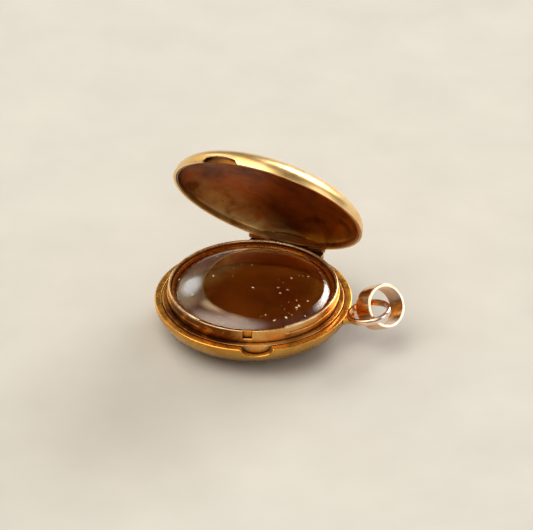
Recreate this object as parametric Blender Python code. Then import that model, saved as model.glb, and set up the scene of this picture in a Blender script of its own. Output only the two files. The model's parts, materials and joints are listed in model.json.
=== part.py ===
"""A small round gold locket, open, lying on its domed back: metres, +Z up, hinge axis along X, bail towards +X.

The origin is the middle of the small flat on the back. Every turned piece shares the Z axis of the back shell.
The lid is built in its closed place and opened by the empty on the hinge axis.
"""

import math

import bmesh
import bpy
from mathutils import Matrix, Vector

MM = 0.001
SEGMENTS = 64
SMOOTH_ANGLE = math.radians(35)

# Back half of the case, millimetres
CASE_RADIUS = 12.0
FLAT_RADIUS = 4.0
RIM_Z = 4.0
RIM_LAND = 0.85
RIM_BAND = 0.4
EDGE_ROUND = 0.08
WALL = 0.45
FIT_GAP = 0.06

# Fixed rings inside the back rim
COLLAR_RADIUS = 10.33
COLLAR_WALL = 0.33
COLLAR_TOP = 5.8
COLLAR_FOOT = 2.5
LEDGE_RADIUS = 11.05
LEDGE_TOP = 4.08
LEDGE_FOOT = 2.75
BEAD_RADIUS = 0.15
BEAD_Z = 4.84
FRONT_CUT = (-106.0, -45.5)
FRONT_CUT_DROP = 0.16
PRY_SLOT_ANGLE = -71.2
PRY_SLOT = (1.15, 1.25)

# Glazing
BEZEL_RADIUS = 9.92
BEZEL_WALL = 0.27
BEZEL_LIP = 0.5
BEZEL_FOOT = 4.4
BEZEL_TOP = 5.45
CRYSTAL_EDGE_Z = 4.78
CRYSTAL_THICKNESS = 0.32
CRYSTAL_RISE = 1.75

# Lid
LID_RIM_Z = 4.1
LID_HEIGHT = 3.75
LID_WALL = 0.35
DOME_POWER = 2.5
LIP_WIDTH = 0.24
LIP_Z = (4.16, 4.75)
LID_OPEN = 53.0

# Thumbnail notches: angle round the case, half width, depth
BACK_NOTCH = (-65.3, 1.8, 0.96)
LID_NOTCH = (-106.6, 2.3, 0.78)

# Hinge
HINGE_Y = 12.4
HINGE_Z = 4.78
HINGE_MIDDLE_X = -0.6
HINGE_LENGTH = 10.0
KNUCKLES = 5
KNUCKLE_GAP = 0.08
KNUCKLE_RADIUS = 0.62
PIN_RADIUS = 0.28
PIN_CLEARANCE = 0.06
LEAF_BODY_Z = (3.35, 4.1)
LEAF_BODY_Y = 12.75
LEAF_CORNER = 0.9
LEAF_LID_Z = (4.95, 5.6)
LEAF_LID_Y = 12.5

# Fixed loop and bail
LOOP_CENTRE = (14.9, 0.36, 5.15)
LOOP_TILT = 11.5
LOOP_RADIUS = 2.74
LOOP_THICKNESS = 0.46
LOOP_HEIGHT = 0.74
FOOT_FLOOR = 3.3
FOOT_TOP = 4.13
FOOT_X = 13.1
FOOT_HALF_ANGLE = 6.5
BAIL_PIVOT_ANGLE = 63.5
BAIL_CENTRE = (15.75, 1.97, 5.21)
BAIL_AXIS_AZIMUTH = -28.3
BAIL_AXIS_LIFT = 32.6
BAIL_RADIUS = 2.72
BAIL_THICKNESS = 0.42
BAIL_WIDTH = 2.7

GOLD = (0.83, 0.55, 0.22)
ROSE_GOLD = (0.84, 0.56, 0.38)
GLASS = (0.9, 0.87, 0.82)


def clear_scene():
    for obj in list(bpy.data.objects):
        bpy.data.objects.remove(obj, do_unlink=True)


def material(name, color, roughness, metallic=1.0):
    made = bpy.data.materials.new(name)
    made.use_nodes = True
    shader = made.node_tree.nodes["Principled BSDF"]
    shader.inputs["Base Color"].default_value = (*color, 1.0)
    shader.inputs["Roughness"].default_value = roughness
    shader.inputs["Metallic"].default_value = metallic
    return made


def empty(name, location, rotation=(0.0, 0.0, 0.0)):
    made = bpy.data.objects.new(name, None)
    made.location = Vector(location) * MM
    made.rotation_euler = rotation
    bpy.context.scene.collection.objects.link(made)
    return made


def finish_object(name, mesh_builder, finish, parent=None, smooth=True):
    """Links the bmesh, given in millimetres and world axes, as an object that hangs from its parent's place."""
    bmesh.ops.recalc_face_normals(mesh_builder, faces=mesh_builder.faces)
    shift = parent.location if parent else Vector((0.0, 0.0, 0.0))
    mesh_builder.transform(Matrix.Translation(-shift) @ Matrix.Scale(MM, 4))
    mesh = bpy.data.meshes.new(name)
    mesh_builder.to_mesh(mesh)
    mesh_builder.free()
    if smooth:
        mesh.shade_smooth()
        mesh.set_sharp_from_angle(angle=SMOOTH_ANGLE)
    if finish:
        mesh.materials.append(finish)
    made = bpy.data.objects.new(name, mesh)
    made.parent = parent
    bpy.context.scene.collection.objects.link(made)
    return made


def lathe(profile, segments=SEGMENTS):
    """A closed ring or a closed solid turned round Z from (radius, z) points. A radius of 0 is a pole."""
    turned = bmesh.new()
    rings = []
    for radius, z in profile:
        if radius == 0.0:
            rings.append([turned.verts.new((0.0, 0.0, z))] * segments)
            continue
        angles = [2.0 * math.pi * step / segments for step in range(segments)]
        rings.append([turned.verts.new((radius * math.cos(a), radius * math.sin(a), z)) for a in angles])
    for here, there in zip(rings, rings[1:] + rings[:1]):
        for step in range(segments):
            after = (step + 1) % segments
            corners = [here[step], here[after], there[after], there[step]]
            corners = [c for i, c in enumerate(corners) if c not in corners[:i]]
            if len(corners) > 2:
                turned.faces.new(corners)
    return turned


def ellipse_arc(inner, outer, rise, base, steps):
    """(radius, z) points of a quarter ellipse, level at the inner radius and upright at the outer one."""
    turns = [0.5 * math.pi * step / steps for step in range(steps + 1)]
    return [(inner + (outer - inner) * math.sin(t), base + rise * (1.0 - math.cos(t))) for t in turns]


def dome_arc(radius, height, base, steps):
    """(radius, z) points of a superellipse dome from its rim up to its pole."""
    turns = [0.5 * math.pi * step / steps for step in range(steps)]
    points = []
    for turn in turns:
        out = radius * math.cos(turn) ** (2.0 / DOME_POWER)
        up = height * math.sin(turn) ** (2.0 / DOME_POWER)
        points.append((out, base + up))
    return points + [(0.0, base + height)]


def tube_along_x(radius, start, end, bore=0.0, segments=20):
    """A rod or, with a bore, a tube on the hinge axis."""
    if bore:
        profile = [(bore, start), (radius, start), (radius, end), (bore, end)]
    else:
        profile = [(0.0, start), (radius, start), (radius, end), (0.0, end)]
    made = lathe(profile, segments)
    to_hinge = Matrix.Translation((0.0, HINGE_Y, HINGE_Z)) @ Matrix.Rotation(math.pi / 2, 4, "Y")
    made.transform(to_hinge)
    return made


def prism(outline, low, high):
    """The outline, a list of (x, y), raised from low to high."""
    made = bmesh.new()
    base = made.faces.new([made.verts.new((x, y, low)) for x, y in outline])
    raised = bmesh.ops.extrude_face_region(made, geom=[base])
    tops = [item for item in raised["geom"] if isinstance(item, bmesh.types.BMVert)]
    bmesh.ops.translate(made, verts=tops, vec=(0.0, 0.0, high - low))
    return made


def cut(target, cutter):
    cutter.hide_render = True
    cutter.display_type = "WIRE"
    carve = target.modifiers.new("cut_" + cutter.name, "BOOLEAN")
    carve.operation = "DIFFERENCE"
    carve.solver = "EXACT"
    carve.object = cutter


def notch_cutter(name, notch, rim_z, side, parent=None):
    """A rod across the rim whose arc takes the notch's width and depth. Side is -1 to cut down and +1 to cut up."""
    angle, half_width, depth = notch
    radius = (half_width**2 + depth**2) / (2.0 * depth)
    centre_z = rim_z + side * (depth - radius)
    rod = lathe([(0.0, 11.1), (radius, 11.1), (radius, 13.5), (0.0, 13.5)], 48)
    turn = Matrix.Rotation(math.radians(angle), 4, "Z") @ Matrix.Rotation(math.pi / 2, 4, "Y")
    rod.transform(Matrix.Translation((0.0, 0.0, centre_z)) @ turn)
    return finish_object(name, rod, None, parent)


def build_back_shell(gold):
    outer = ellipse_arc(FLAT_RADIUS, CASE_RADIUS, RIM_Z - RIM_BAND, 0.0, 9)
    inner = ellipse_arc(FLAT_RADIUS, CASE_RADIUS - WALL, RIM_Z - RIM_BAND - WALL, WALL, 8)
    land_radius = CASE_RADIUS - RIM_LAND
    rim = [
        (CASE_RADIUS, RIM_Z - EDGE_ROUND),
        (CASE_RADIUS - EDGE_ROUND, RIM_Z),
        (land_radius, RIM_Z),
        (land_radius, RIM_Z - RIM_BAND),
    ]
    profile = [(0.0, 0.0)] + outer + rim + inner[::-1] + [(0.0, WALL)]
    shell = finish_object("back_shell", lathe(profile), gold)
    cut(shell, notch_cutter("back_notch_cutter", BACK_NOTCH, RIM_Z, -1))


def build_inner_rings(gold):
    collar_inner = COLLAR_RADIUS - COLLAR_WALL
    collar = finish_object(
        "collar",
        lathe([
            (collar_inner, COLLAR_FOOT),
            (COLLAR_RADIUS, COLLAR_FOOT),
            (COLLAR_RADIUS, COLLAR_TOP - EDGE_ROUND),
            (COLLAR_RADIUS - EDGE_ROUND, COLLAR_TOP),
            (collar_inner, COLLAR_TOP),
        ]),
        gold,
    )
    slot_width, slot_depth = PRY_SLOT
    slot = bmesh.new()
    bmesh.ops.create_cube(slot, size=1.0)
    slot.transform(
        Matrix.Rotation(math.radians(PRY_SLOT_ANGLE), 4, "Z")
        @ Matrix.Translation((COLLAR_RADIUS, 0.0, COLLAR_TOP))
        @ Matrix.Diagonal((1.6, slot_width, 2.0 * slot_depth, 1.0))
    )
    cut(collar, finish_object("pry_slot_cutter", slot, None))
    cut(collar, finish_object("front_cut_cutter", front_cut_wedge(), None))
    ledge_inner = COLLAR_RADIUS + FIT_GAP
    finish_object(
        "rim_ledge",
        lathe([
            (ledge_inner, LEDGE_FOOT),
            (LEDGE_RADIUS, LEDGE_FOOT),
            (LEDGE_RADIUS, LEDGE_TOP - EDGE_ROUND),
            (LEDGE_RADIUS - EDGE_ROUND, LEDGE_TOP),
            (ledge_inner, LEDGE_TOP),
        ]),
        gold,
    )
    finish_object("snap_bead", snap_bead_wire(), gold)


def front_cut_wedge():
    """The low front stretch of the collar's top edge, as a curved block."""
    start, end = (math.radians(angle) for angle in FRONT_CUT)
    steps = 14
    angles = [start + (end - start) * step / steps for step in range(steps + 1)]
    outside = [(12.0 * math.cos(a), 12.0 * math.sin(a)) for a in angles]
    inside = [(9.0 * math.cos(a), 9.0 * math.sin(a)) for a in angles]
    return prism(outside + inside[::-1], COLLAR_TOP - FRONT_CUT_DROP, COLLAR_TOP + 1.0)


def snap_bead_wire():
    """The half-round wire round the collar, open over the front cut."""
    sides = 6
    start = math.radians(FRONT_CUT[1])
    end = math.radians(FRONT_CUT[0] + 360.0)
    steps = 54
    centre_radius = COLLAR_RADIUS + FIT_GAP + BEAD_RADIUS
    wire = bmesh.new()
    rings = []
    for step in range(steps + 1):
        angle = start + (end - start) * step / steps
        ring = []
        for side in range(sides):
            turn = 2.0 * math.pi * side / sides
            out = centre_radius + BEAD_RADIUS * math.cos(turn)
            up = BEAD_Z + BEAD_RADIUS * math.sin(turn)
            ring.append(wire.verts.new((out * math.cos(angle), out * math.sin(angle), up)))
        rings.append(ring)
    for here, there in zip(rings, rings[1:]):
        for side in range(sides):
            after = (side + 1) % sides
            wire.faces.new([here[side], here[after], there[after], there[side]])
    wire.faces.new(rings[0])
    wire.faces.new(rings[-1])
    return wire


def build_glazing(gold, glass):
    axis = empty("glass_axis", (0.0, 0.0, BEZEL_FOOT))
    wall_inner = BEZEL_RADIUS - BEZEL_WALL
    lip_inner = BEZEL_RADIUS - BEZEL_LIP
    groove_low = CRYSTAL_EDGE_Z - FIT_GAP
    groove_high = CRYSTAL_EDGE_Z + CRYSTAL_THICKNESS + FIT_GAP + 0.05
    finish_object(
        "glass_bezel",
        lathe([
            (lip_inner, BEZEL_FOOT),
            (BEZEL_RADIUS, BEZEL_FOOT),
            (BEZEL_RADIUS, BEZEL_TOP),
            (wall_inner, BEZEL_TOP),
            (lip_inner, groove_high + 0.05),
            (lip_inner, groove_high),
            (wall_inner, groove_high),
            (wall_inner, groove_low),
            (lip_inner, groove_low),
        ]),
        gold,
        axis,
    )
    edge = wall_inner - FIT_GAP
    dome = lip_inner - FIT_GAP
    steps = 7
    radii = [dome * math.cos(0.5 * math.pi * step / steps) for step in range(steps)] + [0.0]
    curve = [(r, CRYSTAL_EDGE_Z + CRYSTAL_RISE * (1.0 - (r / dome) ** 3) ** 0.75) for r in radii]
    under = [(edge, CRYSTAL_EDGE_Z)] + curve
    over = [(r, z + CRYSTAL_THICKNESS) for r, z in under]
    finish_object("crystal", lathe(over + under[::-1]), glass, axis)


def build_lid(gold, axis):
    outer = dome_arc(CASE_RADIUS, LID_HEIGHT, LID_RIM_Z, 10)
    inner = dome_arc(CASE_RADIUS - LID_WALL, LID_HEIGHT - LID_WALL, LID_RIM_Z, 9)
    shell = finish_object("lid_shell", lathe(outer + inner[::-1]), gold, axis)
    cut(shell, notch_cutter("lid_notch_cutter", LID_NOTCH, LID_RIM_Z, 1, axis))
    barrel = barrel_cutter("lid_barrel_cutter", axis)
    cut(shell, barrel)
    lip_outer = CASE_RADIUS - LID_WALL - FIT_GAP - 0.06
    low, high = LIP_Z
    ring = [(lip_outer - LIP_WIDTH, low), (lip_outer, low), (lip_outer - 0.04, high), (lip_outer - LIP_WIDTH, high)]
    finish_object("lid_lip", lathe(ring), gold, axis)
    return barrel


def barrel_cutter(name, axis):
    half = 0.5 * HINGE_LENGTH + 0.15
    rod = tube_along_x(KNUCKLE_RADIUS + FIT_GAP, HINGE_MIDDLE_X - half, HINGE_MIDDLE_X + half, segments=24)
    return finish_object(name, rod, None, axis)


def leaf_outline(inner_radius, outer_y):
    """A plate between the round case and the straight barrel."""
    half = 0.5 * HINGE_LENGTH
    start = HINGE_MIDDLE_X - half
    steps = 12
    along = [start + HINGE_LENGTH * step / steps for step in range(steps + 1)]
    inner = [(x, math.sqrt(inner_radius**2 - x**2)) for x in along]
    low, high = along[0], along[-1]
    right = [(high, outer_y - LEAF_CORNER), (high - LEAF_CORNER, outer_y)]
    left = [(low + LEAF_CORNER, outer_y), (low, outer_y - LEAF_CORNER)]
    return inner + right + left


def build_hinge(gold, axis, barrel):
    outline = leaf_outline(CASE_RADIUS + FIT_GAP, LEAF_BODY_Y)
    finish_object("hinge_leaf_body", prism(outline, *LEAF_BODY_Z), gold, smooth=False)
    leaf = prism(leaf_outline(CASE_RADIUS - 1.2, LEAF_LID_Y), *LEAF_LID_Z)
    leaf = finish_object("hinge_leaf_lid", leaf, gold, axis, smooth=False)
    past_dome = dome_arc(CASE_RADIUS + FIT_GAP, LID_HEIGHT + FIT_GAP, LID_RIM_Z, 10)
    dome = lathe([(0.0, LID_RIM_Z - 1.0), (CASE_RADIUS + FIT_GAP, LID_RIM_Z - 1.0)] + past_dome)
    cut(leaf, finish_object("leaf_dome_cutter", dome, None, axis))
    cut(leaf, barrel)
    pitch = HINGE_LENGTH / KNUCKLES
    start = HINGE_MIDDLE_X - 0.5 * HINGE_LENGTH
    bore = PIN_RADIUS + PIN_CLEARANCE
    for index in range(KNUCKLES):
        on_lid = index % 2 == 1
        name = f"{'lid' if on_lid else 'body'}_knuckle_{index // 2 + 1}"
        low = start + index * pitch + 0.5 * KNUCKLE_GAP
        high = start + (index + 1) * pitch - 0.5 * KNUCKLE_GAP
        finish_object(name, tube_along_x(KNUCKLE_RADIUS, low, high, bore), gold, axis if on_lid else None)
    finish_object("hinge_pin", tube_along_x(PIN_RADIUS, start - 0.12, start + HINGE_LENGTH + 0.12), gold)


def loop_place():
    """The loop's centre, with its outer end tipped up."""
    return Matrix.Translation(LOOP_CENTRE) @ Matrix.Rotation(math.radians(-LOOP_TILT), 4, "Y")


def build_loop(gold):
    inner = LOOP_RADIUS - LOOP_THICKNESS
    low, high = -0.5 * LOOP_HEIGHT, 0.5 * LOOP_HEIGHT
    soft = 0.12
    ring = lathe([
        (inner, low),
        (LOOP_RADIUS - soft, low),
        (LOOP_RADIUS, low + soft),
        (LOOP_RADIUS, high - soft),
        (LOOP_RADIUS - soft, high),
        (inner, high),
    ], 36)
    ring.transform(loop_place())
    finish_object("fixed_loop", ring, gold)
    middle = math.atan2(LOOP_CENTRE[1], LOOP_CENTRE[0])
    half = math.radians(FOOT_HALF_ANGLE)
    near = CASE_RADIUS + FIT_GAP
    arc = [middle - half + 2.0 * half * step / 6 for step in range(7)]
    outline = [(near * math.cos(a), near * math.sin(a)) for a in arc]
    outline += [(FOOT_X, LOOP_CENTRE[1] + 0.7), (FOOT_X, LOOP_CENTRE[1] - 0.7)]
    foot = prism(outline, FOOT_FLOOR, FOOT_TOP)
    slope = math.tan(math.radians(LOOP_TILT))
    for vert in foot.verts:
        if vert.co.z > FOOT_FLOOR:
            vert.co.z += slope * (vert.co.x - CASE_RADIUS)
    finish_object("loop_foot", foot, gold, smooth=False)


def build_bail(gold):
    turn = math.radians(BAIL_PIVOT_ANGLE)
    wire = LOOP_RADIUS - 0.5 * LOOP_THICKNESS
    axis = empty("bail_axis", loop_place() @ Vector((wire * math.cos(turn), wire * math.sin(turn), 0.0)))
    inner = BAIL_RADIUS - BAIL_THICKNESS
    half = 0.5 * BAIL_WIDTH
    soft = 0.1
    ring = lathe([
        (inner, -half),
        (BAIL_RADIUS - soft, -half),
        (BAIL_RADIUS, soft - half),
        (BAIL_RADIUS, half - soft),
        (BAIL_RADIUS - soft, half),
        (inner, half),
    ], 40)
    aim = Matrix.Rotation(math.radians(BAIL_AXIS_AZIMUTH), 4, "Z")
    tip = Matrix.Rotation(math.radians(90.0 - BAIL_AXIS_LIFT), 4, "Y")
    ring.transform(Matrix.Translation(BAIL_CENTRE) @ aim @ tip)
    finish_object("bail", ring, gold, axis)


def main():
    clear_scene()
    gold = material("gold", GOLD, 0.28)
    rose = material("rose_gold", ROSE_GOLD, 0.3)
    glass = material("crystal_glass", GLASS, 0.04, 0.0)
    lid_axis = empty("lid_axis", (0.0, HINGE_Y, HINGE_Z), (math.radians(-LID_OPEN), 0.0, 0.0))
    build_back_shell(gold)
    build_inner_rings(gold)
    build_glazing(gold, glass)
    barrel = build_lid(gold, lid_axis)
    build_hinge(gold, lid_axis, barrel)
    build_loop(rose)
    build_bail(rose)
    bpy.context.view_layer.update()


main()
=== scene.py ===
import json
import math

import bmesh
import bpy
import numpy as np
from mathutils import Matrix, Vector


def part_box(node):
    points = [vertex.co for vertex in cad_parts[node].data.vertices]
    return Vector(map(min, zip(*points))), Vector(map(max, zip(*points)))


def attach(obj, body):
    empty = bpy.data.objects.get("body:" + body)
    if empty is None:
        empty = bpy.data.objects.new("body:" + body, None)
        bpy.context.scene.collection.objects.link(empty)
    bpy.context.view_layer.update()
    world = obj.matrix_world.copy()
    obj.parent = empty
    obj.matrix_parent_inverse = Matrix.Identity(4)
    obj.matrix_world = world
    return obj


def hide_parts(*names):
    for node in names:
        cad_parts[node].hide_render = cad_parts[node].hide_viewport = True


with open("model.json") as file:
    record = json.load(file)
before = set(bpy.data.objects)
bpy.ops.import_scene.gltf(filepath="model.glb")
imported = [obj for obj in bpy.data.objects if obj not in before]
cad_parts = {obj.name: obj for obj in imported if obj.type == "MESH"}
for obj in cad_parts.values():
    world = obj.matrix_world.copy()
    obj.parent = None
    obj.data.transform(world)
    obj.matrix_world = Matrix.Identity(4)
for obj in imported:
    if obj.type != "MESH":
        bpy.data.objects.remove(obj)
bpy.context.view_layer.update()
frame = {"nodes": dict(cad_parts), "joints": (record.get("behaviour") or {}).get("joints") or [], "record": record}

# Lengths below are in millimetres, in the row frame with the lid closed, unless a comment says otherwise.
MM = 0.001
TURN_STEPS = 288
ON_AXIS = 1e-6
SAME_ANGLE = 2e-4
SHARP = math.radians(38)
BEVELLED = math.radians(35)


def low_high(node):
    """The two corners of a CAD node's box, in millimetres."""
    low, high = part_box(node)
    return low / MM, high / MM


def joint(name):
    return next(j for j in frame["joints"] if j["name"] == name)


# Places read from the frame
SHELL_HIGH = low_high("back_shell")[1]
CASE_RADIUS = SHELL_HIGH.x
RIM_Z = SHELL_HIGH.z
COLLAR_LOW, COLLAR_HIGH = low_high("collar")
COLLAR_RADIUS = COLLAR_HIGH.x
COLLAR_TOP = COLLAR_HIGH.z
LEDGE_LOW, LEDGE_HIGH = low_high("rim_ledge")
BEZEL_LOW, BEZEL_HIGH = low_high("glass_bezel")
CRYSTAL_LOW, CRYSTAL_HIGH = low_high("crystal")
BEAD_LOW, BEAD_HIGH = low_high("snap_bead")
PIN_LOW, PIN_HIGH = low_high("hinge_pin")
LOOP_LOW, LOOP_HIGH = low_high("fixed_loop")
FOOT_LOW, FOOT_HIGH = low_high("loop_foot")
LEAF_LOW, LEAF_HIGH = low_high("hinge_leaf_body")
HINGE = Vector(joint("lid_hinge")["pos_m"]) / MM
OPEN_ANGLE = -math.radians(joint("lid_hinge")["range_deg"][0])
BAIL_EYE = next(m for m in frame["record"]["mounts"] if m["name"] == "bail_eye")
OPENED = Matrix.Translation(HINGE) @ Matrix.Rotation(-OPEN_ANGLE, 4, "X") @ Matrix.Translation(-HINGE)
UPRIGHT = Matrix.Identity(4)

# Sections of the turned pieces. LIP_Z is measured from the lid's rim.
FLAT_RADIUS = 4.0
SHELL_POWER = 2.15
SHELL_WALL = 0.45
RIM_LAND = 0.85
RIM_THICKNESS = 0.42
RIM_SIDE = 0.3
RIM_CORNER = 0.14
RIM_UNDER_CORNER = 0.05
COLLAR_WALL = 0.33
COLLAR_SOFT = 0.16
RING_FOOT_SOFT = 0.03
RING_PLAY = 0.05
BEAD_GROWTH = 1.1
BEAD_BULGE = 1.15
BEAD_TAPER = 0.06
BEAD_TIP = 0.25
BEZEL_WALL = 0.27
BEZEL_LIP = 0.5
BEZEL_GROOVE = 0.42
CRYSTAL_PLAY = 0.06
CRYSTAL_THICKNESS = 0.32
CRYSTAL_POWERS = (3, 0.75)
LID_GAP = 0.1
LID_HEIGHT = 3.75
LID_POWER = 2.5
LID_WALL = 0.35
LIP_WIDTH = 0.24
LIP_Z = (0.06, 0.65)
LIP_TONGUE = 0.75
SOFT = 0.09

# The hinge. LID_LEAF_Z is measured from the pin's axis.
BARREL_RADIUS = 0.62
BARREL_CLEAR = 0.7
PIN_RADIUS = 0.28
PIN_PLAY = 0.04
PIN_CROWN = 0.1
LEAF_CORNER = 0.9
LID_LEAF_CORNER = 0.5
LID_LEAF_REACH = 1.2
LID_LEAF_PAST = 0.1
LID_LEAF_Z = (0.17, 0.82)
LEAF_PLAY = 0.012

# Angles round the case, degrees from +X
BACK_NOTCH = {"angle": -65.3, "half": 9.6, "depth": 0.95}
LID_NOTCH = {"angle": -106.6, "half": 12.8, "depth": 0.8}
FRONT_CUT = (-106.0, -45.5)
FRONT_CUT_DROP = 0.16
STEP_SPREAD = 0.08
PRY_SLOT = {"angle": -71.2, "half": 3.2, "depth": 1.25}


def link(name, mesh):
    made = bpy.data.objects.new(name, mesh)
    bpy.context.scene.collection.objects.link(made)
    return made


def closed_mesh(name, verts, faces, place):
    """A mesh given in millimetres, put in place, with its faces turned outwards."""
    mesh = bpy.data.meshes.new(name)
    mesh.from_pydata([tuple(v) for v in verts], [], faces)
    mesh.validate()
    mesh.transform(Matrix.Scale(MM, 4) @ place)
    faced = bmesh.new()
    faced.from_mesh(mesh)
    bmesh.ops.recalc_face_normals(faced, faces=faced.faces)
    faced.to_mesh(mesh)
    faced.free()
    return mesh


def piece(name, verts, faces, finish, body, node, place=UPRIGHT):
    """The visible piece that stands for a CAD node."""
    mesh = closed_mesh(name, verts, faces, place)
    mesh.shade_smooth()
    mesh.set_sharp_from_angle(angle=SHARP)
    mesh.materials.append(finish)
    made = link(name, mesh)
    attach(made, body)
    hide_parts(node)
    return made


def turned(profile_at, angles, closed=True):
    """Verts and faces of a profile carried round Z. A point on the axis becomes one shared vertex."""
    verts = []
    rings = []
    poles = {}
    for angle in angles:
        ring = []
        for index, (radius, z) in enumerate(profile_at(angle)):
            if radius < ON_AXIS:
                if index not in poles:
                    poles[index] = len(verts)
                    verts.append((0.0, 0.0, z))
                ring.append(poles[index])
            else:
                ring.append(len(verts))
                verts.append((radius * math.cos(angle), radius * math.sin(angle), z))
        rings.append(ring)
    faces = []
    pairs = list(zip(rings, rings[1:] + rings[:1])) if closed else list(zip(rings, rings[1:]))
    for here, there in pairs:
        for index in range(len(here)):
            after = (index + 1) % len(here)
            corners = [here[index], here[after], there[after], there[index]]
            corners = list(dict.fromkeys(corners))
            if len(corners) > 2:
                faces.append(corners)
    if not closed:
        faces += [rings[0], rings[-1]]
    return verts, faces


def even_angles(count):
    return [2.0 * math.pi * step / count for step in range(count)]


def all_round(extra=()):
    """Even angles round the circle, with closer ones added where a feature needs them."""
    wanted = sorted(set(even_angles(TURN_STEPS)) | {math.radians(a) % (2.0 * math.pi) for a in extra})
    kept = [wanted[0]]
    for angle in wanted[1:]:
        if angle - kept[-1] > SAME_ANGLE:
            kept.append(angle)
    return kept


def off_by(angle, middle_degrees):
    """Signed degrees from the middle to the angle."""
    return (math.degrees(angle) - middle_degrees + 180.0) % 360.0 - 180.0


def notch_drop(angle, notch):
    """How deep the notch is at this angle: a round scoop with soft shoulders."""
    share = abs(off_by(angle, notch["angle"])) / notch["half"]
    if share >= 1.0:
        return 0.0
    scoop = math.sqrt(1.0 - share**2) if share < 0.8 else 0.6 * ((1.0 - share) / 0.2) ** 1.35
    return notch["depth"] * scoop


def rounded(points, radii, steps=4):
    """The closed outline with each corner that has a radius turned into an arc-like curve."""
    out = []
    count = len(points)
    for index, radius in enumerate(radii):
        here = Vector(points[index])
        if radius == 0.0:
            out.append(tuple(here))
            continue
        before = Vector(points[index - 1]) - here
        after = Vector(points[(index + 1) % count]) - here
        reach = min(radius, 0.48 * before.length, 0.48 * after.length)
        start = here + before.normalized() * reach
        end = here + after.normalized() * reach
        for step in range(steps + 1):
            t = step / steps
            out.append(tuple(start.lerp(here, t).lerp(here.lerp(end, t), t)))
    return out


# Looks --------------------------------------------------------------------------------------------

# Distances here are in metres, as the nodes take them, except in the tables of painted light.


class Nodes:
    """A short way to write a material's node tree."""

    def __init__(self, name):
        self.material = bpy.data.materials.new(name)
        self.material.use_nodes = True
        self.tree = self.material.node_tree
        self.shader = self.tree.nodes["Principled BSDF"]
        self.output = self.tree.nodes["Material Output"]

    def add(self, kind, inputs=None, **settings):
        node = self.tree.nodes.new(kind)
        for key, value in settings.items():
            setattr(node, key, value)
        for key, value in (inputs or {}).items():
            if isinstance(value, bpy.types.NodeSocket):
                self.tree.links.new(value, node.inputs[key])
            else:
                node.inputs[key].default_value = value
        return node

    def join(self, source, target):
        self.tree.links.new(source, target)

    def coordinates(self, scale=(1.0, 1.0, 1.0), turn=(0.0, 0.0, 0.0)):
        place = self.add("ShaderNodeTexCoord")
        mapping = self.add("ShaderNodeMapping", {"Scale": scale, "Rotation": turn})
        self.join(place.outputs["Object"], mapping.inputs["Vector"])
        return mapping.outputs["Vector"]

    def noise(self, vector, scale, detail=4.0, roughness=0.55, distortion=0.0):
        made = self.add("ShaderNodeTexNoise", {
            "Vector": vector,
            "Scale": scale,
            "Detail": detail,
            "Roughness": roughness,
            "Distortion": distortion,
        })
        return made.outputs["Fac"]

    def ramp(self, value, low, high, start=0.0, end=1.0):
        made = self.add("ShaderNodeMapRange", {
            "Value": value,
            "From Min": low,
            "From Max": high,
            "To Min": start,
            "To Max": end,
        }, clamp=True)
        return made.outputs["Result"]

    def math(self, operation, first, second=0.0):
        made = self.add("ShaderNodeMath", operation=operation)
        for socket, value in zip(made.inputs, (first, second)):
            if isinstance(value, bpy.types.NodeSocket):
                self.join(value, socket)
            else:
                socket.default_value = value
        return made.outputs["Value"]

    def blend(self, share, first, second):
        made = self.add("ShaderNodeMix", data_type="RGBA")
        for index, value in ((0, share), (6, first), (7, second)):
            if isinstance(value, bpy.types.NodeSocket):
                self.join(value, made.inputs[index])
            elif index:
                made.inputs[index].default_value = (*value, 1.0)
            else:
                made.inputs[index].default_value = value
        return made.outputs[2]

    def along(self, vector, direction):
        """How far a point lies along a direction, in metres."""
        made = self.add("ShaderNodeVectorMath", {0: vector, 1: direction}, operation="DOT_PRODUCT")
        return made.outputs["Value"]

    def scratches(self, scale, turn, width):
        """Thin lines that run one way, as a value from 0 to 1."""
        vector = self.coordinates((scale, scale * 0.035, scale * 0.035), turn)
        lines = self.noise(vector, 1.0, detail=2.0, roughness=0.6, distortion=0.25)
        return self.ramp(self.math("ABSOLUTE", self.math("SUBTRACT", lines, 0.5)), width, 0.0)

    def bump(self, height, depth, normal=None):
        made = self.add("ShaderNodeBump", {"Height": height, "Strength": 1.0, "Distance": depth})
        if normal is not None:
            self.join(normal, made.inputs["Normal"])
        return made.outputs["Normal"]


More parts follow.
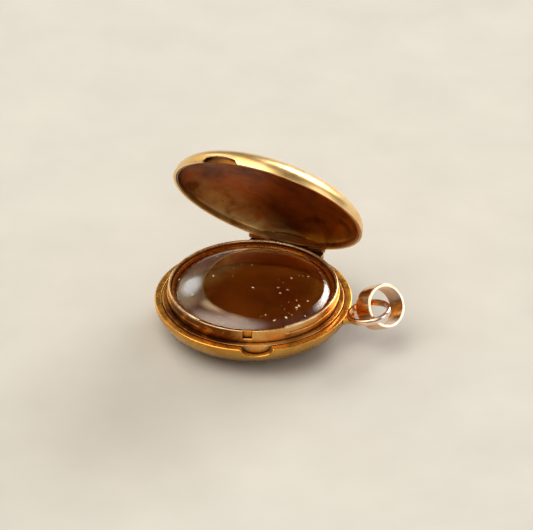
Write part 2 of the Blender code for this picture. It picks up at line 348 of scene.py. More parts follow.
def gold(name, bright, deep, dirt_and_shade_colour, rough=(0.16, 0.36), patch=260.0, crevice=0.0004, wear=0.5, turning=0.0,
         mottling=0.12, scratched=1.0, painted_light_bands=()):
    """Old worn gold: patchy colour, dirt and painted shade in the corners, bands of painted light, rubbed edges,
    fine scratches and slight waves.
    """
    n = Nodes(name)
    place = n.coordinates()
    patches = n.ramp(n.noise(place, patch, 5.0, 0.6, 0.4), 0.34, 0.68)
    colour = n.blend(patches, bright, deep)
    mottle = n.noise(place, patch * 9.0, 6.0, 0.65)
    colour = n.blend(n.ramp(mottle, 0.5, 0.8, 0.0, mottling), colour, deep)
    metal = 1.0
    # Bands of painted light: each fades in along a direction, clouded with noise, and turns part of the metal
    # matte.
    for direction, start, full, strength, matte_share, band_colour in painted_light_bands:
        there = n.ramp(n.along(place, direction), start * MM, full * MM, 0.0, strength)
        cloudy = n.ramp(n.noise(place, 330.0, 4.0, 0.65, 0.8), 0.36, 0.62, 0.25, 1.0)
        there = n.math("MULTIPLY", there, cloudy)
        colour = n.blend(there, colour, band_colour)
        metal = n.math("SUBTRACT", metal, n.math("MULTIPLY", there, matte_share))
    # Dirt and painted shade: where the surface is shut in (ambient occlusion), the colour darkens patchily towards
    # the dirt-and-shade colour, and the roughness rises.
    corners = n.add("ShaderNodeAmbientOcclusion", {"Distance": crevice}, samples=8)
    shut = n.ramp(corners.outputs["AO"], 0.35, 0.8, 1.0, 0.0)
    dirt_and_shade = n.math("MULTIPLY", shut, n.ramp(mottle, 0.3, 0.55, 0.45, 1.0))
    colour = n.blend(dirt_and_shade, colour, dirt_and_shade_colour)
    geometry = n.add("ShaderNodeNewGeometry")
    edges = n.ramp(geometry.outputs["Pointiness"], 0.515, 0.56, 0.0, wear)
    colour = n.blend(edges, colour, tuple(min(1.0, 1.12 * c + 0.06) for c in bright))
    n.join(colour, n.shader.inputs["Base Color"])
    if painted_light_bands:
        n.join(metal, n.shader.inputs["Metallic"])
    else:
        n.shader.inputs["Metallic"].default_value = metal
    first = n.scratches(2600.0, (0.3, 0.2, 0.6), 0.012)
    second = n.scratches(3300.0, (0.9, 0.1, 2.1), 0.010)
    third = n.scratches(1500.0, (0.1, 0.7, 1.3), 0.006)
    lines = n.math("MAXIMUM", n.math("MAXIMUM", first, second), third)
    lines = n.math("MULTIPLY", lines, n.ramp(n.noise(place, 420.0, 3.0), 0.42, 0.62, 0.0, scratched))
    handled = n.ramp(n.noise(place, 900.0, 7.0, 0.6), 0.3, 0.7, rough[0], rough[1])
    dull = n.math("ADD", handled, n.math("MULTIPLY", dirt_and_shade, 0.3))
    n.join(n.math("ADD", dull, n.math("MULTIPLY", lines, 0.12)), n.shader.inputs["Roughness"])
    waves = n.bump(n.noise(place, 210.0, 2.0, 0.5), 0.00011)
    grain = n.bump(n.noise(place, 5200.0, 3.0, 0.6), 0.0000012, waves)
    if turning:
        axis = n.add("ShaderNodeSeparateXYZ", {"Vector": place})
        radius = n.math("SQRT", n.math(
            "ADD",
            n.math("POWER", axis.outputs["X"], 2.0),
            n.math("POWER", axis.outputs["Y"], 2.0),
        ))
        around = n.add("ShaderNodeCombineXYZ", {"X": radius, "Z": axis.outputs["Z"]})
        rings = n.noise(around.outputs["Vector"], 9000.0, 2.0, 0.6)
        grain = n.bump(rings, turning, grain)
    n.join(n.bump(n.math("MULTIPLY", lines, -1.0), 0.000004, grain), n.shader.inputs["Normal"])
    return n.material


# Each band of painted light: a direction, where along it the band starts and is full in millimetres, its strength,
# how much of it turns the metal matte, and its colour. The lid's directions are with the lid open.
# Painted light: the rim's top face painted a brighter orange gold, for how the light falls on it.
CASE_PAINTED_LIGHT = (
    ((0.0, 0.0, 1.0), 3.78, 3.97, 1.0, 0.05, (0.95, 0.42, 0.06)),
)
# Painted light on the collar: the front painted dark brown as shade, the front-right painted paler as a highlight,
# and a pale band along the top edge as a painted highlight.
RIM_PAINTED_LIGHT = (
    ((-0.3, -0.95, 0.0), 8.1, 9.7, 2.0, 0.0, (0.15, 0.048, 0.008)),
    ((0.62, -0.78, 0.0), 8.8, 10.3, 0.7, 0.1, (0.74, 0.46, 0.2)),
    ((0.0, 0.0, 1.0), 5.5, 5.76, 1.0, 0.3, (1.0, 0.84, 0.55)),
)
# Painted light on the bail and loop: the upper right painted pale as a highlight, the lower left painted a deeper
# orange gold.
ROSE_PAINTED_LIGHT = (
    ((0.9, -0.2, 0.4), 16.0, 17.6, 1.3, 0.0, (0.92, 0.8, 0.74)),
    ((-0.9, 0.2, -0.4), -16.2, -14.9, 1.0, 0.0, (0.82, 0.37, 0.09)),
)
# Painted light in the well: brighter towards the right and the left, where light comes in through the glass.
WELL_PAINTED_LIGHT = (
    ((0.96, 0.28, 0.0), 6.0, 9.5, 1.2, 0.1, (0.82, 0.36, 0.07)),
    ((-0.96, 0.28, 0.0), 7.2, 9.8, 1.2, 0.1, (0.56, 0.32, 0.09)),
)
# Painted reflections on the inside of the lid: an orange-brown sheen towards the right and a tan, partly matte
# patch towards the lower left.
LID_PAINTED_REFLECTIONS = (
    ((0.87, 0.3, -0.4), 0.0, 5.5, 0.95, 0.05, (0.74, 0.27, 0.02)),
    ((-0.7, 0.42, -0.56), 0.5, 4.0, 0.85, 0.5, (0.64, 0.42, 0.15)),
)


def crystal_glass():
    """Clear old glass with small flecks and a faint smear. Light reaches the inside through it."""
    n = Nodes("crystal_glass_look")
    place = n.coordinates()
    shifted = n.blend(0.0004, (0.0, 0.0, 0.0), n.add("ShaderNodeTexNoise", {
        "Vector": place,
        "Scale": 5000.0,
    }).outputs["Color"])
    wavy = n.add("ShaderNodeVectorMath", {0: place, 1: shifted}, operation="ADD")
    cells = n.add("ShaderNodeTexVoronoi", {"Vector": wavy.outputs["Vector"], "Scale": 1800.0}, feature="F1")
    chosen = n.add("ShaderNodeSeparateColor", {"Color": cells.outputs["Color"]})
    size = n.ramp(chosen.outputs["Red"], 0.86, 1.0, 0.03, 0.26)
    flecks = n.ramp(n.math("SUBTRACT", cells.outputs["Distance"], size), -0.03, 0.0, 1.0, 0.0)
    flecks = n.math("MULTIPLY", flecks, n.ramp(chosen.outputs["Red"], 0.86, 0.865))
    crowded = n.ramp(n.along(place, (0.95, -0.3, 0.0)), 0.0005, 0.004, 0.25, 1.0)
    kept = n.ramp(n.math("SUBTRACT", crowded, chosen.outputs["Green"]), 0.0, 0.01)
    flecks = n.math("MULTIPLY", flecks, kept)
    smear = n.ramp(n.noise(place, 240.0, 6.0, 0.62, 0.6), 0.45, 0.8, 0.0, 0.05)
    n.join(n.blend(flecks, (1.0, 0.985, 0.95), (0.85, 0.72, 0.5)), n.shader.inputs["Base Color"])
    clear = n.math("SUBTRACT", 1.0, flecks)
    n.join(clear, n.shader.inputs["Transmission Weight"])
    n.join(n.math("ADD", n.math("MULTIPLY", flecks, 0.55), smear), n.shader.inputs["Roughness"])
    n.shader.inputs["IOR"].default_value = 1.52
    n.join(n.bump(n.noise(place, 130.0, 2.0, 0.4), 0.00014), n.shader.inputs["Normal"])
    see = n.add("ShaderNodeBsdfTransparent", {"Color": (0.93, 0.9, 0.84, 1.0)})
    path = n.add("ShaderNodeLightPath")
    mixed = n.add("ShaderNodeMixShader", {0: path.outputs["Is Shadow Ray"]})
    n.join(n.shader.outputs["BSDF"], mixed.inputs[1])
    n.join(see.outputs["BSDF"], mixed.inputs[2])
    n.join(mixed.outputs["Shader"], n.output.inputs["Surface"])
    return n.material


def floor_paper():
    n = Nodes("floor_paper")
    place = n.coordinates()
    n.join(n.blend(n.ramp(n.noise(place, 90.0, 3.0), 0.3, 0.7), (0.5, 0.495, 0.48), (0.54, 0.535, 0.52)),
           n.shader.inputs["Base Color"])
    n.shader.inputs["Roughness"].default_value = 0.8
    n.join(n.bump(n.noise(place, 2500.0, 4.0), 0.00001), n.shader.inputs["Normal"])
    return n.material


# The case -----------------------------------------------------------------------------------------


def shell_curve(flat, outer, rise, base, end_z, steps):
    """(radius, z) points from the edge of the flat up to a height, along a superellipse."""
    share = min(1.0, (end_z - base) / rise)
    last = math.acos(max(0.0, 1.0 - share) ** (SHELL_POWER / 2.0))
    points = []
    for step in range(steps + 1):
        t = last * step / steps
        radius = flat + (outer - flat) * math.sin(t) ** (2.0 / SHELL_POWER)
        points.append((radius, base + rise * (1.0 - math.cos(t) ** (2.0 / SHELL_POWER))))
    return points


def back_shell_profile(angle):
    """(radius, z) points: the flat, the outside, the rim, then the inside back to the axis."""
    top = RIM_Z - notch_drop(angle, BACK_NOTCH)
    land = CASE_RADIUS - RIM_LAND
    under = top - RIM_THICKNESS
    outer = shell_curve(FLAT_RADIUS, CASE_RADIUS, RIM_Z, 0.0, top - SOFT, 44)
    edge = outer[-1][0]
    inner_radius = CASE_RADIUS - SHELL_WALL
    inner = shell_curve(FLAT_RADIUS, inner_radius, RIM_Z - SHELL_WALL, SHELL_WALL, under, 30)
    rim = rounded(
        [(edge, top - RIM_SIDE), (edge + 0.01, top), (land, top), (land, under), (inner[-1][0], under)],
        [0.0, RIM_CORNER, SOFT, RIM_UNDER_CORNER, 0.0],
    )[1:-1]
    bottom = [(0.0, 0.0), (FLAT_RADIUS * 0.5, 0.0)]
    inside = [(FLAT_RADIUS * 0.5, SHELL_WALL), (0.0, SHELL_WALL)]
    return bottom + outer + rim + inner[::-1] + inside


def notch_angles(notch, step=0.35):
    """Closely spaced degrees across a notch and a little past its ends."""
    span = notch["half"] * 1.05
    count = int(2 * span / step)
    return [notch["angle"] - span + 2 * span * k / count for k in range(count + 1)]


def make_back_shell(finish, inside):
    verts, faces = turned(back_shell_profile, all_round(notch_angles(BACK_NOTCH)))
    shell = piece("back_shell_fine", verts, faces, finish, "case", "back_shell")
    shell.data.materials.append(inside)
    # Faces that look in towards the middle, inside the rim's land, take the well's dark copy of the gold, painted
    # shade.
    centre = Vector((0.0, 0.0, 2.0 * CASE_RADIUS)) * MM
    for face in shell.data.polygons:
        toward = (centre - face.center).normalized()
        if face.normal.dot(toward) > 0.2 and face.center.xy.length < (CASE_RADIUS - RIM_LAND) * MM:
            face.material_index = 1


def ring_profile(outer, wall, foot, top, soft):
    """An upright band's cross-section, with softened top corners."""
    corners = [(outer - wall, foot), (outer, foot), (outer, top), (outer - wall, top)]
    return rounded(corners, [RING_FOOT_SOFT, RING_FOOT_SOFT, soft, soft])


def collar_profile(angle):
    start, end = FRONT_CUT
    inside_cut = 0.0 < off_by(angle, start) < end - start
    top = COLLAR_TOP - (FRONT_CUT_DROP if inside_cut else 0.0)
    if abs(off_by(angle, PRY_SLOT["angle"])) < PRY_SLOT["half"]:
        top = COLLAR_TOP - PRY_SLOT["depth"]
    return ring_profile(COLLAR_RADIUS, COLLAR_WALL, COLLAR_LOW.z, top, COLLAR_SOFT)


def beside(angle):
    """Degrees just before and just after a sudden step in a profile."""
    return [angle - STEP_SPREAD, angle + STEP_SPREAD]


def make_rings(finish, inside):
    slot = PRY_SLOT["angle"]
    steps = beside(FRONT_CUT[0]) + beside(FRONT_CUT[1])
    steps += beside(slot - PRY_SLOT["half"]) + beside(slot + PRY_SLOT["half"])
    verts, faces = turned(collar_profile, all_round(steps))
    collar = piece("collar_fine", verts, faces, finish, "case", "collar")
    collar.data.materials.append(inside)
    # The collar's bore below the bezel takes the well's dark copy of the gold, painted shade.
    bore = (COLLAR_RADIUS - 0.9 * COLLAR_WALL) * MM
    for face in collar.data.polygons:
        if face.center.xy.length < bore and face.center.z < BEZEL_LOW.z * MM:
            face.material_index = 1
    width = LEDGE_HIGH.x - COLLAR_RADIUS - RING_PLAY
    ledge = ring_profile(LEDGE_HIGH.x, width, LEDGE_LOW.z, LEDGE_HIGH.z, SOFT)
    verts, faces = turned(lambda angle: ledge, all_round())
    piece("rim_ledge_fine", verts, faces, finish, "case", "rim_ledge")
    make_bead(finish)


def make_bead(finish):
    """The half-round wire, with ends that taper into the collar."""
    thick = 0.5 * (BEAD_HIGH.z - BEAD_LOW.z) * BEAD_GROWTH
    middle_z = 0.5 * (BEAD_HIGH.z + BEAD_LOW.z)
    seat = COLLAR_RADIUS + 0.01
    start = math.radians(FRONT_CUT[1])
    end = math.radians(FRONT_CUT[0] + 360.0)
    count = 250

    def section(angle):
        from_end = min(angle - start, end - angle)
        size = BEAD_TIP + (1.0 - BEAD_TIP) * min(1.0, from_end / BEAD_TAPER) ** 0.5
        points = []
        for side in range(13):
            turn = -0.5 * math.pi + math.pi * side / 12
            out = seat + BEAD_BULGE * thick * size * math.cos(turn)
            points.append((out, middle_z + thick * size * math.sin(turn)))
        return points

    angles = [start + (end - start) * k / count for k in range(count + 1)]
    verts, faces = turned(section, angles, closed=False)
    piece("snap_bead_fine", verts, faces, finish, "case", "snap_bead")


def make_glazing(finish, glass):
    """The bezel, with a groove for the glass's edge, and the domed glass."""
    outer = BEZEL_HIGH.x
    wall = outer - BEZEL_WALL
    lip = outer - BEZEL_LIP
    low, high = CRYSTAL_LOW.z - RING_PLAY, CRYSTAL_LOW.z + BEZEL_GROOVE
    section = rounded(
        [
            (lip, BEZEL_LOW.z),
            (outer, BEZEL_LOW.z),
            (outer, BEZEL_HIGH.z),
            (wall, BEZEL_HIGH.z),
            (lip, high + CRYSTAL_PLAY),
            (lip, high),
            (wall, high),
            (wall, low),
            (lip, low),
        ],
        [0.03, 0.03, 0.08, 0.08, 0.03, 0.02, 0.0, 0.0, 0.02],
    )
    verts, faces = turned(lambda angle: section, all_round())
    piece("glass_bezel_fine", verts, faces, finish, "glazing", "glass_bezel")
    edge = lip - CRYSTAL_PLAY
    rise = CRYSTAL_HIGH.z - CRYSTAL_LOW.z - CRYSTAL_THICKNESS
    radii = [edge * math.sin(0.5 * math.pi * k / 48) for k in range(49)]
    inward, upward = CRYSTAL_POWERS
    under = [(r, CRYSTAL_LOW.z + rise * (1.0 - (r / edge) ** inward) ** upward) for r in radii]
    under.append((CRYSTAL_HIGH.x, CRYSTAL_LOW.z))
    over = [(r, z + CRYSTAL_THICKNESS) for r, z in under]
    dome = under + over[::-1]
    verts, faces = turned(lambda angle: dome, all_round())
    piece("crystal_fine", verts, faces, glass, "glazing", "crystal")


# The lid ------------------------------------------------------------------------------------------

LID_RIM = RIM_Z + LID_GAP
LID_EDGE_OUT = 0.11
LID_EDGE_IN = 0.08
LID_EDGE_DROP = 0.02
BELOW_LID = 9.0
LIP_LAND = 0.14
LIP_PLAY = 0.03
TONGUE_PAST = 5.0
TONGUE_FADE = 4.0


def lid_curve(radius, rise, start, steps):
    """(radius, z) points from a height above the rim up to the pole."""
    first = math.asin(min(1.0, (start / rise)) ** (LID_POWER / 2.0))
    points = []
    for step in range(steps):
        t = first + (0.5 * math.pi - first) * step / steps
        out = radius * math.cos(t) ** (2.0 / LID_POWER)
        points.append((out, LID_RIM + rise * math.sin(t) ** (2.0 / LID_POWER)))
    return points + [(0.0, LID_RIM + rise)]


def barrel_bite(angle):
    """How far up the wall is cut away to clear the hinge barrel."""
    x = CASE_RADIUS * math.cos(angle)
    y = CASE_RADIUS * math.sin(angle)
    reach = BARREL_CLEAR**2 - (y - HINGE.y) ** 2
    if y < 0.0 or reach <= 0.0 or not LEAF_LOW.x < x < LEAF_HIGH.x:
        return 0.0
    return HINGE.z + math.sqrt(reach) - LID_RIM


def lid_profile(angle):
    start = max(notch_drop(angle, LID_NOTCH), barrel_bite(angle)) + LID_EDGE_DROP
    outer = lid_curve(CASE_RADIUS, LID_HEIGHT, start + LID_EDGE_OUT, 46)
    inner = lid_curve(CASE_RADIUS - LID_WALL, LID_HEIGHT - LID_WALL, start + LID_EDGE_IN, 40)
    base = LID_RIM + start
    out, back = outer[0][0], inner[0][0]
    edge = rounded(
        [(back, base + LID_EDGE_IN), (back, base), (out, base), (out, base + LID_EDGE_OUT)],
        [0.0, 0.1, 0.13, 0.0],
    )[1:-1]
    return edge + outer + inner[::-1]


def make_lid(finish, inside, edging):
    """The domed lid and the lip inside its rim, which rises over the cut that clears the hinge."""
    bite = math.degrees(math.acos((HINGE.y - BARREL_CLEAR) / CASE_RADIUS))
    extra = notch_angles(LID_NOTCH) + beside(90.0 - bite) + beside(90.0 + bite)
    verts, faces = turned(lid_profile, all_round(extra))
    lid = piece("lid_shell_fine", verts, faces, finish, "lid", "lid_shell", OPENED)
    lid.data.materials.append(inside)
    # Faces of the lid that look inwards, above the lip's land, take the dark inside copy of the gold, painted
    # shade.
    centre = OPENED @ Vector((0.0, 0.0, LID_RIM - BELOW_LID)) * MM
    closed = OPENED.inverted()
    for face in lid.data.polygons:
        toward = (centre - face.center).normalized()
        if face.normal.dot(toward) > 0.25 and (closed @ (face.center / MM)).z > LID_RIM + LIP_LAND:
            face.material_index = 1
    outer = CASE_RADIUS - LID_WALL - LIP_PLAY
    low, high = (LID_RIM + z for z in LIP_Z)

    def band(angle):
        within = (bite + TONGUE_PAST - abs(off_by(angle, 90.0))) / TONGUE_FADE
        top = high + LIP_TONGUE * min(1.0, max(0.0, within))
        foot = [(outer - LIP_WIDTH, low), (outer - 0.02, low)]
        head = [(outer - 0.05, top), (outer - LIP_WIDTH + 0.1, top)]
        return rounded(foot + head, [0.1, 0.04, 0.04, 0.1])

    verts, faces = turned(band, all_round())
    piece("lid_lip_fine", verts, faces, edging, "lid", "lid_lip", OPENED)


# The hinge ----------------------------------------------------------------------------------------


def along_hinge(profile, steps=64):
    """A turned piece whose axis is the hinge's: points are (radius, x)."""
    verts, faces = turned(lambda angle: profile, even_angles(steps))
    aim = Matrix.Translation((0.0, HINGE.y, HINGE.z)) @ Matrix.Rotation(math.pi / 2, 4, "Y")
    return [aim @ Vector(v) for v in verts], faces


def make_barrel(finish):
    for node in sorted(n for n in frame["nodes"] if "knuckle" in n):
        on_lid = node.startswith("lid")
        low, high = low_high(node)
        bore = PIN_RADIUS + PIN_PLAY
        corners = [(bore, low.x), (BARREL_RADIUS, low.x), (BARREL_RADIUS, high.x), (bore, high.x)]
        verts, faces = along_hinge(rounded(corners, [0.04, 0.07, 0.07, 0.04]))
        place = OPENED if on_lid else UPRIGHT
        piece(node + "_fine", verts, faces, finish, "lid" if on_lid else "case", node, place)
    ends = (PIN_LOW.x, PIN_HIGH.x)
    turns = np.linspace(0.0, 0.5 * math.pi, 7)
    dome = [(PIN_RADIUS * math.sin(t), PIN_CROWN * (1.0 - math.cos(t))) for t in turns]
    profile = [(r, ends[0] + z) for r, z in dome] + [(r, ends[1] - z) for r, z in dome[::-1]]
    verts, faces = along_hinge(profile)
    piece("hinge_pin_fine", verts, faces, finish, "case", "hinge_pin")


def leaf_outline(inner_radius, outer_y, corner):
    """A plate from an arc round the case out to a straight edge with two round corners."""
    along = np.linspace(LEAF_LOW.x, LEAF_HIGH.x, 41)
    inner = [(x, math.sqrt(inner_radius**2 - x**2)) for x in along]
    low, high = along[0], along[-1]
    turns = np.linspace(0.0, 0.5 * math.pi, 7)
    bend = [(corner * (1.0 - math.cos(t)), outer_y - corner * (1.0 - math.sin(t))) for t in turns]
    right = [(high - inward, y) for inward, y in bend]
    left = [(low + inward, y) for inward, y in bend[::-1]]
    return inner + right + left


def raised(outline, low, high):
    """Verts and faces of a flat outline carried from one height to another."""
    count = len(outline)
    verts = [(x, y, low) for x, y in outline] + [(x, y, high) for x, y in outline]
    faces = [list(range(count)), list(range(count, 2 * count))]
    faces += [[k, (k + 1) % count, count + (k + 1) % count, count + k] for k in range(count)]
    return verts, faces


def soften(obj, width, segments=3):
    bevel = obj.modifiers.new("soft_edges", "BEVEL")
    bevel.width = width * MM
    bevel.segments = segments
    bevel.limit_method = "ANGLE"
    bevel.angle_limit = BEVELLED


def cut_away(obj, verts, faces, place):
    """Cuts a closed shape from the object, and applies the cut."""
    cutter = link("cutter", closed_mesh("cutter", verts, faces, place))
    carve = obj.modifiers.new("cut", "BOOLEAN")
    carve.operation = "DIFFERENCE"
    carve.object = cutter
    graph = bpy.context.evaluated_depsgraph_get()
    obj.data = bpy.data.meshes.new_from_object(obj.evaluated_get(graph))
    obj.modifiers.clear()
    bpy.data.objects.remove(cutter)


def make_leaves(finish):
    outline = leaf_outline(CASE_RADIUS + 0.01, LEAF_HIGH.y, LEAF_CORNER)
    verts, faces = raised(outline, LEAF_LOW.z, LEAF_HIGH.z)
    leaf = piece("hinge_leaf_body_fine", verts, faces, finish, "case", "hinge_leaf_body")
    soften(leaf, 0.12)
    outline = leaf_outline(CASE_RADIUS - LID_LEAF_REACH, HINGE.y + LID_LEAF_PAST, LID_LEAF_CORNER)
    verts, faces = raised(outline, HINGE.z + LID_LEAF_Z[0], HINGE.z + LID_LEAF_Z[1])
    leaf = piece("hinge_leaf_lid_fine", verts, faces, finish, "lid", "hinge_leaf_lid", OPENED)
    dome = [(0.0, LID_RIM - 1.0), (CASE_RADIUS + LEAF_PLAY, LID_RIM - 1.0)]
    dome += lid_curve(CASE_RADIUS + LEAF_PLAY, LID_HEIGHT + LEAF_PLAY, 0.0, 30)
    verts, faces = turned(lambda angle: dome, all_round())
    cut_away(leaf, verts, faces, OPENED)
    reach = 8.0
    clear = BARREL_RADIUS + PIN_PLAY
    verts, faces = along_hinge([(0.0, -reach), (clear, -reach), (clear, reach), (0.0, reach)], 96)
    cut_away(leaf, verts, faces, OPENED)
    soften(leaf, 0.05, 2)


# Loop and bail ------------------------------------------------------------------------------------

LOOP_THICKNESS = 0.46
LOOP_HEIGHT = 0.74
LOOP_TILT = math.radians(11.5)
BAIL_RADIUS = 2.72
BAIL_THICKNESS = 0.42
BAIL_WIDTH = 2.7
FOOT_HALF_ANGLE = math.radians(5.2)
FOOT_HALF_WIDTH = 0.95
FOOT_WAIST = 0.35
FOOT_TAPER = 0.75


def strap_section(outer, thick, width, crown, edge):
    """(radius, along) points of a strap's cross-section, slightly crowned and with round outer edges."""
    half = 0.5 * width
    inner = outer - thick
    corners = [(inner, -half), (outer - crown, -half), (outer, 0.0), (outer - crown, half), (inner, half)]
    return rounded(corners, [0.04, edge, 0.9 * half - edge, edge, 0.04], 6)


def make_loop(finish, solder):
    centre = 0.5 * (LOOP_LOW + LOOP_HIGH)
    radius = 0.5 * (LOOP_HIGH.y - LOOP_LOW.y)
    section = strap_section(radius, LOOP_THICKNESS, LOOP_HEIGHT, 0.08, 0.26)
    verts, faces = turned(lambda angle: section, even_angles(128))
    aim = Matrix.Translation(centre) @ Matrix.Rotation(-LOOP_TILT, 4, "Y")
    verts = [aim @ Vector(v) for v in verts]
    piece("fixed_loop_fine", verts, faces, finish, "case", "fixed_loop")
    make_foot(solder, centre)


def make_foot(finish, centre):
    """The solder seat: a small saddle that narrows from the shell out under the loop."""
    middle = math.atan2(centre.y, centre.x)
    near = CASE_RADIUS + 0.01
    arc = [middle - FOOT_HALF_ANGLE + 2.0 * FOOT_HALF_ANGLE * k / 12 for k in range(13)]
    outline = [(near * math.cos(a), near * math.sin(a)) for a in arc]
    reach = FOOT_HIGH.x - near * math.cos(middle)
    for share in np.linspace(0.0, 1.0, 13):
        side = math.cos(math.pi * share)
        out = FOOT_HIGH.x - reach * FOOT_TAPER * abs(side) ** 3
        waist = 1.0 - FOOT_WAIST * math.sin(math.pi * share)
        outline.append((out, centre.y + FOOT_HALF_WIDTH * side * waist))
    verts, faces = raised(outline, FOOT_LOW.z, FOOT_HIGH.z)
    slope = math.tan(LOOP_TILT)
    verts = [(x, y, z - slope * (FOOT_HIGH.x - x) if z > FOOT_LOW.z else z) for x, y, z in verts]
    foot = piece("loop_foot_fine", verts, faces, finish, "case", "loop_foot")
    soften(foot, 0.14)


def make_bail(finish):
    """The wide strap ring that hangs in the loop."""
    centre = Vector(BAIL_EYE["pos_m"]) / MM
    axis = Vector(BAIL_EYE["axis"]).normalized()
    section = strap_section(BAIL_RADIUS, BAIL_THICKNESS, BAIL_WIDTH, 0.05, 0.09)
    verts, faces = turned(lambda angle: section, even_angles(160))
    aim = Matrix.Translation(centre) @ axis.to_track_quat("Z", "Y").to_matrix().to_4x4()
    verts = [aim @ Vector(v) for v in verts]
    piece("bail_fine", verts, faces, finish, "bail", "bail")


# Floor, lights and camera -------------------------------------------------------------------------

# Lengths in this section are in metres
FLOOR_RADIUS = 2.0
VIEW_AZIMUTH = math.radians(22.6)
VIEW_HEIGHT = math.radians(32.0)
VIEW_DISTANCE = 0.4
VIEW_WIDTH = 0.06474
SENSOR = 36.0
LOOK_RIGHT = 0.0016
LOOK_UP = 0.00381


def make_floor():
    bpy.ops.mesh.primitive_circle_add(vertices=96, radius=FLOOR_RADIUS, fill_type="NGON")
    floor = bpy.context.object
    floor.name = "studio_floor"
    floor.data.materials.append(floor_paper())


class Sky:
    """A plain even surround with a few wide soft glows, as windows and walls give."""

    def __init__(self, colour, strength):
        self.world = bpy.data.worlds.new("studio")
        self.world.use_nodes = True
        self.tree = self.world.node_tree
        self.background = self.tree.nodes["Background"]
        place = self.tree.nodes.new("ShaderNodeTexCoord")
        self.direction = place.outputs["Generated"]
        self.total = self.scaled(colour, strength)

    def scaled(self, colour, strength):
        made = self.tree.nodes.new("ShaderNodeVectorMath")
        made.operation = "SCALE"
        made.inputs[0].default_value = colour
        if isinstance(strength, bpy.types.NodeSocket):
            self.tree.links.new(strength, made.inputs["Scale"])
        else:
            made.inputs["Scale"].default_value = strength
        return made.outputs[0]

    def glow(self, from_back, height, spread, colour, strength):
        """A round glow: degrees clockwise from the back, degrees up, half width in degrees."""
        turn, lift = math.radians(from_back), math.radians(height)
        toward = (math.sin(turn) * math.cos(lift), math.cos(turn) * math.cos(lift), math.sin(lift))
        near = self.tree.nodes.new("ShaderNodeVectorMath")
        near.operation = "DOT_PRODUCT"
        near.inputs[1].default_value = toward
        self.tree.links.new(self.direction, near.inputs[0])
        soft = self.tree.nodes.new("ShaderNodeMapRange")
        soft.interpolation_type = "SMOOTHERSTEP"
        soft.inputs["From Min"].default_value = math.cos(math.radians(spread))
        soft.inputs["To Max"].default_value = strength
        self.tree.links.new(near.outputs["Value"], soft.inputs["Value"])
        joined = self.tree.nodes.new("ShaderNodeVectorMath")
        joined.operation = "ADD"
        self.tree.links.new(self.total, joined.inputs[0])
        self.tree.links.new(self.scaled(colour, soft.outputs["Result"]), joined.inputs[1])
        self.total = joined.outputs[0]

    def use(self):
        self.tree.links.new(self.total, self.background.inputs["Color"])
        bpy.context.scene.world = self.world


# Each glow: degrees clockwise from the back, degrees up, half width in degrees, colour and strength
GLOWS = (
    (-132.0, 64.0, 41.0, (1.0, 0.92, 0.79), 3.5),
    (-45.0, 53.0, 10.0, (1.0, 0.74, 0.42), 3.4),
    (-34.0, 67.0, 12.0, (1.0, 0.78, 0.46), 2.0),
    (-47.0, 28.0, 11.0, (0.82, 0.9, 1.0), 2.5),
    (-62.0, 24.0, 30.0, (1.0, 0.86, 0.55), 0.9),
    (8.0, 29.0, 19.0, (1.0, 0.98, 0.94), 8.5),
    (24.0, 24.0, 22.0, (1.0, 0.97, 0.92), 4.0),
    (82.0, 22.0, 26.0, (1.0, 0.98, 0.97), 1.7),
    (140.0, 34.0, 26.0, (1.0, 0.95, 0.85), 1.6),
)
SURROUND = (1.0, 0.91, 0.76)
SURROUND_STRENGTH = 0.15


def make_lights():
    sky = Sky(SURROUND, SURROUND_STRENGTH)
    for glow in GLOWS:
        sky.glow(*glow)
    sky.use()


def make_camera():
    right = Vector((math.cos(VIEW_AZIMUTH), math.sin(VIEW_AZIMUTH), 0.0))
    back = Vector((
        math.sin(VIEW_AZIMUTH) * math.cos(VIEW_HEIGHT),
        -math.cos(VIEW_AZIMUTH) * math.cos(VIEW_HEIGHT),
        math.sin(VIEW_HEIGHT),
    ))
    up = back.cross(right)
    target = Vector((0.0, 0.0, RIM_Z * MM)) + right * LOOK_RIGHT + up * LOOK_UP
    data = bpy.data.cameras.new("photo_view")
    data.sensor_width = SENSOR
    data.lens = SENSOR * VIEW_DISTANCE / VIEW_WIDTH
    data.clip_start = 0.01
    camera = bpy.data.objects.new("photo_view", data)
    turn = Matrix((right, up, back)).transposed().to_4x4()
    camera.matrix_world = Matrix.Translation(target + back * VIEW_DISTANCE) @ turn
    bpy.context.scene.collection.objects.link(camera)
    bpy.context.scene.camera = camera


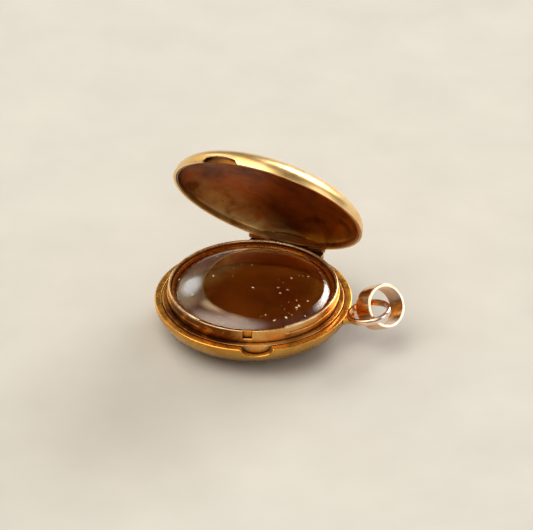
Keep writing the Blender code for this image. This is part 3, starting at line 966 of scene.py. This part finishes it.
def make_looks():
    """The metals by the sub-part that they are for. Each takes its bright, deep and dirt-and-painted-shade
    colours. Some are lit and shaded copies of one gold: the lid's outside paler and brighter as painted light; the
    case's outside darker, and the lid's inside, the lip, the well and the hinge dark, as painted shade.
    """
    looks = {}
    # A darker copy of the gold on the case's outside, painted shade.
    looks["case"] = gold(
        "case_gold_look", (0.66, 0.37, 0.085), (0.47, 0.22, 0.035), (0.09, 0.035, 0.008),
        rough=(0.2, 0.34), wear=0.12, mottling=0.04, scratched=0.5, painted_light_bands=CASE_PAINTED_LIGHT,
    )
    looks["rim"] = gold(
        "rim_gold_look", (0.74, 0.36, 0.065), (0.46, 0.16, 0.018), (0.07, 0.022, 0.005),
        rough=(0.18, 0.36), crevice=0.001, wear=0.12, turning=0.000005, painted_light_bands=RIM_PAINTED_LIGHT,
    )
    looks["bezel"] = gold(
        "bezel_gold_look", (0.8, 0.34, 0.06), (0.5, 0.15, 0.018), (0.07, 0.022, 0.005),
        rough=(0.18, 0.36), crevice=0.001, wear=0.12, turning=0.000005,
    )
    # A paler, brighter copy of the gold on the lid's outside, painted light.
    looks["lid"] = gold(
        "lid_gold_painted_light", (0.95, 0.7, 0.35), (0.86, 0.54, 0.2), (0.1, 0.04, 0.008),
        rough=(0.26, 0.36), wear=0.2, mottling=0.02, scratched=0.15,
    )
    # A dark copy of the gold on the lid's inside, painted shade, with painted reflections.
    looks["inside"] = gold(
        "lid_inside_painted_shade", (0.42, 0.115, 0.01), (0.13, 0.03, 0.005), (0.03, 0.01, 0.003),
        rough=(0.26, 0.45), wear=0.2, scratched=0.4, painted_light_bands=LID_PAINTED_REFLECTIONS,
    )
    # A dark copy of the gold on the lid's lip, painted shade, with painted reflections.
    looks["lip"] = gold(
        "lip_gold_painted_shade", (0.3, 0.13, 0.022), (0.15, 0.055, 0.01), (0.03, 0.01, 0.003),
        rough=(0.26, 0.45), wear=0.2, scratched=0.4, painted_light_bands=LID_PAINTED_REFLECTIONS,
    )
    # A dark copy of the gold in the well, painted shade, with painted light where light comes through the glass.
    looks["well"] = gold(
        "well_gold_painted_shade", (0.4, 0.12, 0.01), (0.25, 0.062, 0.005), (0.1, 0.03, 0.005),
        rough=(0.35, 0.5), patch=90.0, wear=0.1, mottling=0.05, scratched=0.3, painted_light_bands=WELL_PAINTED_LIGHT,
    )
    # A dark copy of the gold on the hinge, painted shade.
    looks["hinge"] = gold(
        "hinge_gold_painted_shade", (0.4, 0.17, 0.03), (0.22, 0.08, 0.012), (0.03, 0.012, 0.004),
        rough=(0.25, 0.5), wear=0.25,
    )
    looks["rose"] = gold(
        "rose_gold_look", (0.93, 0.67, 0.48), (0.84, 0.45, 0.2), (0.14, 0.05, 0.015),
        rough=(0.1, 0.26), wear=0.25, mottling=0.06, scratched=0.5, painted_light_bands=ROSE_PAINTED_LIGHT,
    )
    return looks


def main():
    bpy.context.scene.view_settings.view_transform = "Standard"
    make_camera()
    make_floor()
    make_lights()
    looks = make_looks()
    make_back_shell(looks["case"], looks["well"])
    make_rings(looks["rim"], looks["well"])
    make_glazing(looks["bezel"], crystal_glass())
    make_lid(looks["lid"], looks["inside"], looks["lip"])
    make_barrel(looks["hinge"])
    make_leaves(looks["hinge"])
    make_loop(looks["rose"], looks["case"])
    make_bail(looks["rose"])


main()
